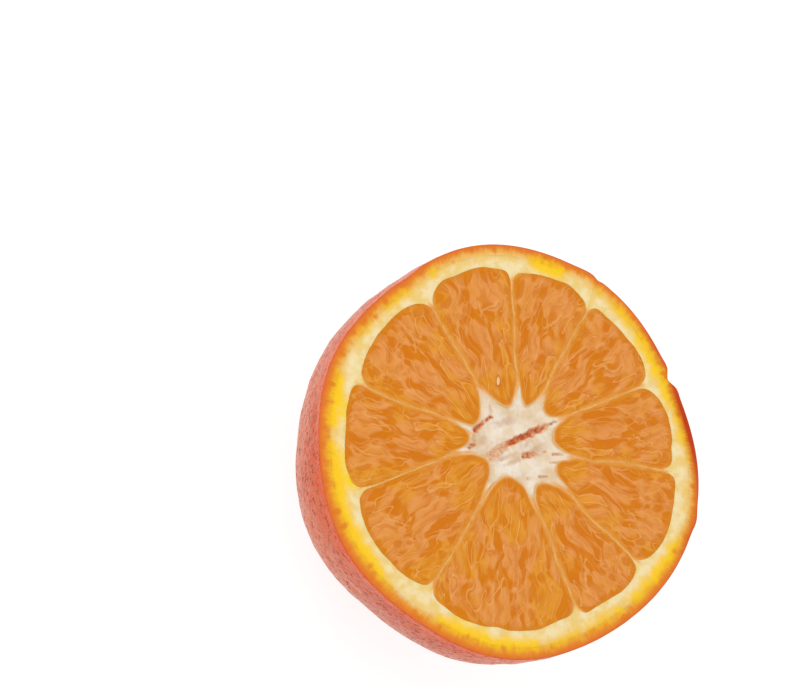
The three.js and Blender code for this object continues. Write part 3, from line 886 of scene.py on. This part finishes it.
def pulp_material():
    """Wet juice cells: peach where torn skins lie over the juice, lightened in part by painted
    sheen of the soft light on the wet cells, amber between them, soft pools of deep orange,
    pale strands along the cells, dark lines of painted shade with pale lines beside them that
    are partly the skins' own colour and partly painted highlight, pale rims of painted
    highlight round some blobs, and round the end of a sac at the core a pale edge and then an
    amber band."""
    material, tree, surface = new_material("pulp")
    along, across, edge = (stored(tree, key) for key in ("along", "across", "cell_edge"))
    tone, rim, fleck = (stored(tree, key) for key in ("cell_tone", "rim", "fleck"))

    def drawn_out(long, wide, layer=0.0):
        inputs = {0: maths("DIVIDE", along, long), 1: maths("DIVIDE", across, wide), 2: layer}
        return shade(tree, "CombineXYZ", inputs).outputs[0]

    def flow(long, wide, detail, layer, bend=0.3):
        return noise_over(drawn_out(long, wide, layer), 1.0, detail, Distortion=bend)

    def line_at(value, level, wide):
        off = maths("ABSOLUTE", minus(value, level))
        return ramp(off, wide, wide * 0.3)

    pools, hue = flow(4.6, 2.2, 1.3, 1.0, 0.15), flow(8.0, 5.0, 1.5, 9.0)
    veins, fibres = flow(9.0, 2.2, 0.6, 5.0, 0.15), flow(5.0, 0.55, 1.5, 7.0, 0.15)
    fine = flow(2.4, 1.2, 2.5, 3.0)
    level = plus(off_middle(tone, 0.12), pools, times(rim, -0.07))
    heads = cells_over(drawn_out(3.2, 1.8), 1.0, Randomness=0.85)
    off_head = heads.outputs["Distance"]
    outer = times(stored(tree, "outer"), 0.2)
    picked = ramp(plus(cell_number(heads), outer), 0.8, 0.88)
    head = times(picked, ramp(off_head, 0.52, 0.3))
    # A pale line round the edge of each picked blob: a painted highlight.
    ring = times(picked, line_at(off_head, 0.53, 0.06))
    strands = times(ramp(edge, 0.12, 0.02), ramp(hue, 0.42, 0.56))
    pale = times(stored(tree, "by_membrane"), ramp(fine, 0.2, 0.6))
    mottle = ramp(fine, 0.35, 0.65)
    # Peach is lighter than amber partly as painted sheen of the soft light on wet, raised cells,
    # partly as the torn skins' own colour.
    peach = mixed(mottle, srgb(218, 132, 50), srgb(230, 151, 77))
    amber = mixed(mottle, srgb(219, 137, 20), srgb(229, 152, 47))
    skins = mixed(ramp(hue, 0.40, 0.56), amber, peach)
    skins = tinted(skins, ramp(fibres, 0.52, 0.7), (234, 161, 86), 0.16)
    deep = mixed(ramp(hue, 0.4, 0.6), srgb(216, 125, 0), srgb(214, 119, 4))
    juice = mixed(ramp(level, 0.405, 0.485), deep, skins)
    for where, tint, share in (
        (head, (211, 118, 4), 0.7),
        (ring, (236, 168, 92), 0.25),
        # Dark lines of painted shade, and beside them pale lines that are partly the skins' own
        # colour and partly painted highlight, as on a raised ridge.
        (line_at(veins, 0.470, 0.014), (207, 112, 2), 0.45),
        (line_at(veins, 0.492, 0.014), (238, 175, 104), 0.5),
        (strands, (240, 178, 106), 0.22),
        (ramp(rim, 0.3, 1.0), (216, 130, 2), 0.6),
        (stored(tree, "tip_band"), (214, 126, 0), 0.85),
        (pale, (230, 157, 66), 1.0),
        (stored(tree, "tip_rim"), (242, 200, 142), 0.75),
        (ramp(fleck, 0.1, 0.35), (196, 104, 14), 0.8),
        (ramp(fleck, 0.4, 0.62), (238, 196, 138), 1.0),
    ):
        juice = tinted(juice, where, tint, share)
    height = plus(times(fine, 0.7), times(head, 0.4), times(ramp(level, 0.38, 0.5), 0.5))
    fill(tree, surface, {
        "Base Color": juice, "Normal": bump(height, 0.5, 0.18),
        "Roughness": plus(times(mottle, 0.25), 0.2), "Specular IOR Level": 0.12,
        **soft(0.1, 1.2, 0.5, 0.1),
    })
    return material


def pulp_relief(spots, share, turn_at, seed):
    """Height above the cut: a low swell that falls off at the sac's edge, the spindles' own
    swelling, fine ridges along their skins, and small lumps. Also the place along and across
    the spindles, how far the next one's skin is, and each one's own number."""
    radius = np.hypot(spots[..., 0], spots[..., 1])
    turn = (np.arctan2(spots[..., 1], spots[..., 0]) - turn_at + math.pi) % (2 * math.pi) - math.pi
    flat = np.concatenate([spots, 0 * radius[..., None]], -1)
    along = radius + layers(flat, BEND_ALONG, seed)
    across = (4 + 0.8 * radius) * turn + layers(flat, BEND_ACROSS, seed)
    near, after, tone = spindles(along / SPINDLE_LONG, across / SPINDLE_WIDE, seed + 5)
    edge = after - near
    relief = (0.16 * (np.clip(edge * 2.2, 0, 1) - 0.6) * (0.4 + 0.6 * tone)
              + 0.08 * np.exp(-(edge / 0.10) ** 2) + 0.10 * (tone - 0.5)
              + layers(flat, PULP_LUMPS, seed))
    rise = PULP_SWELL * (1 - share ** 2) + relief * rising(1 - share, 0, 0.06) - PULP_SUNK
    return np.minimum(rise, PULP_TOP), along, across, edge, tone


def middle_pulled(row, distance):
    """A row of the side drawn in from its pocket by a distance, so that the two stay clear."""
    middle = row.mean(axis=0)
    off = row - middle
    size = np.linalg.norm(off[:, :2], axis=1, keepdims=True)
    flat = middle[:2] + off[:, :2] * (1 - distance / size)
    return np.concatenate([flat, row[:, 2:] + distance], 1)


def bell(distance, middle, spread):
    """A value that falls off both ways from a distance, as exp(-((d - m) / s)^2)."""
    return np.exp(-((distance - middle) / spread) ** 2)


def fleck_value(x, y):
    """1 at the middle of the fleck, falling off as exp(-d^2) over its length and its width."""
    off_x, off_y = x - FLECK[0], y - FLECK[1]
    cos, sin = math.cos(FLECK_TURN), math.sin(FLECK_TURN)
    gap = np.hypot((off_x * cos + off_y * sin) / FLECK_LONG, (off_y * cos - off_x * sin) / FLECK_WIDE)
    return np.exp(-gap ** 2)


def make_pulp(which, material):
    """A closed body drawn round the sac's middle: the cut surface ring by ring out to the
    edge, then down the side as the fruit narrows, and in to the middle of the floor."""
    edge, middle = sac_edge(which)
    ring = evenly(edge, PULP_AROUND)
    way = (ring - middle) / np.linalg.norm(ring - middle, axis=1, keepdims=True)
    far = reach(ring, middle, edge)
    share = np.array(RING_SHARES)[:, None]
    spots = middle + way[None] * (far[None] * share)[..., None]
    x, y = spots[..., 0], spots[..., 1]
    turn_at = math.atan2(middle[1], middle[0])
    rise, along, across, cells, tone = pulp_relief(spots, share, turn_at, 100 + 20 * which)
    top = np.concatenate([spots, HEIGHT + rise[..., None]], -1)
    side = with_floor([middle_pulled(row, PULP_GAP) for row in sac_side(spots[-1], SIDE_ROWS)])
    grid = np.concatenate([top, side])

    def padded(value, below=0.0):
        return np.concatenate([value, np.broadcast_to(below, side.shape[:2])]).ravel()

    far_in = (1 - share) * far[None]
    off_line = []
    for k in (which, (which + 1) % 10):
        off_x, off_y = x - CORE_RAYS[k][0], y - CORE_RAYS[k][1]
        angle = np.arctan2(off_y, off_x) - MEMBRANE_TURNS[k]
        off_line.append(np.abs(np.sin(angle) * np.hypot(off_x, off_y)))
    beside = bell(far_in, 0, 0.55) * np.clip(1.8 - np.minimum(*off_line) / 0.9, 0, 1)
    at_core = rising(np.hypot(x, y), 14.0, -4.0)
    add_piece(f"pulp_{which + 1:02d}", grid.reshape(-1, 3), strip(*grid.shape[:2])[:, ::-1], {
        "along": padded(along, along[-1]),
        "across": padded(across, across[-1]),
        "cell_edge": padded(cells, cells[-1]),
        "cell_tone": padded(tone, tone[-1]),
        "rim": padded(bell(far_in, 0, 1.1), 1.0),
        "by_membrane": padded(beside),
        "outer": padded(rising(np.hypot(x, y), 23.0, 7.0), 1.0),
        "fleck": padded(fleck_value(x, y)),
        "tip_band": padded(at_core * bell(far_in, 1.1, 0.6)),
        "tip_rim": padded(at_core * bell(far_in, 0, 0.32)),
    }, [f"segment_{which + 1:02d}"], "pulp", material)


pulp = pulp_material()
for which in range(10):
    make_pulp(which, pulp)

# ---- Floor, light and camera ----
bpy.context.scene.view_settings.view_transform = "Standard"


def make_floor():
    """A wide pale disc under the fruit, lit from below as a light table is."""
    bpy.ops.mesh.primitive_circle_add(vertices=96, radius=3.0, fill_type="NGON", location=(0, 0, 0))
    floor = bpy.context.object
    floor.name = "floor"
    material, tree, surface = new_material("floor")
    fill(tree, surface, {
        "Base Color": (0.25, 0.25, 0.25, 1), "Roughness": 0.9,
        "Emission Color": (1, 1, 1, 1), "Emission Strength": 0.78,
    })
    floor.data.materials.append(material)


make_floor()

world = bpy.data.worlds.new("studio")
bpy.context.scene.world = world
world.use_nodes = True
sky = world.node_tree.nodes["Background"]
fill(world.node_tree, sky, {"Color": (1, 1, 1, 1), "Strength": 1.0})


def area_light(name, turn, elevation, distance, size, power):
    """A square soft light that far from the fruit, at a turn and a height above the cut."""
    light = bpy.data.lights.new(name, "AREA")
    light.size = size
    light.energy = power
    lamp = in_scene(name, light)
    t, e = math.radians(turn), math.radians(elevation)
    way = Vector((math.cos(e) * math.cos(t), math.cos(e) * math.sin(t), math.sin(e)))
    lamp.location = way * distance + Vector((0, 0, HEIGHT * MM))
    lamp.rotation_euler = (-way).to_track_quat("-Z", "Y").to_euler()


area_light("key", 208, 52, 0.7, 0.35, 1.6)
area_light("fill", 318, 50, 0.7, 0.5, 0.4)
area_light("back", 80, 42, 0.7, 0.4, 0.5)

# The camera looks down on the cut from the -Y side, rolled as the photograph is.
PHOTO_WIDE, PHOTO_HIGH = 797, 689
LENS, SENSOR = 135.0, 36.0
TILT, ROLL = math.radians(27.5), math.radians(68)
FACE_AT = (512.93, 450.69)  # pixel of the middle of the cut face
PIXELS_PER_MM = 5.36


def make_camera():
    """Aims at the middle of the cut face, rolls about that line, then turns so that the
    middle of the face comes to its pixel."""
    focal = LENS / SENSOR * PHOTO_WIDE
    way = Vector((0, -math.sin(TILT), math.cos(TILT)))
    right = Vector((1, 0, 0))
    up = way.cross(right)
    side = right * math.cos(ROLL) + up * math.sin(ROLL)
    top = up * math.cos(ROLL) - right * math.sin(ROLL)
    base = Matrix((side, top, way)).transposed()
    off = Vector(((FACE_AT[0] - PHOTO_WIDE / 2) / focal, -(FACE_AT[1] - PHOTO_HIGH / 2) / focal, -1))
    turn = off.rotation_difference(Vector((0, 0, -1))).to_matrix()
    data = bpy.data.cameras.new("camera")
    data.lens, data.sensor_width = LENS, SENSOR
    data.clip_start, data.clip_end = 0.05, 20
    camera = in_scene("camera", data)
    place = Vector((0, 0, HEIGHT * MM)) + way * focal / PIXELS_PER_MM * MM
    camera.matrix_world = Matrix.Translation(place) @ (base @ turn).to_4x4()
    bpy.context.scene.camera = camera


make_camera()
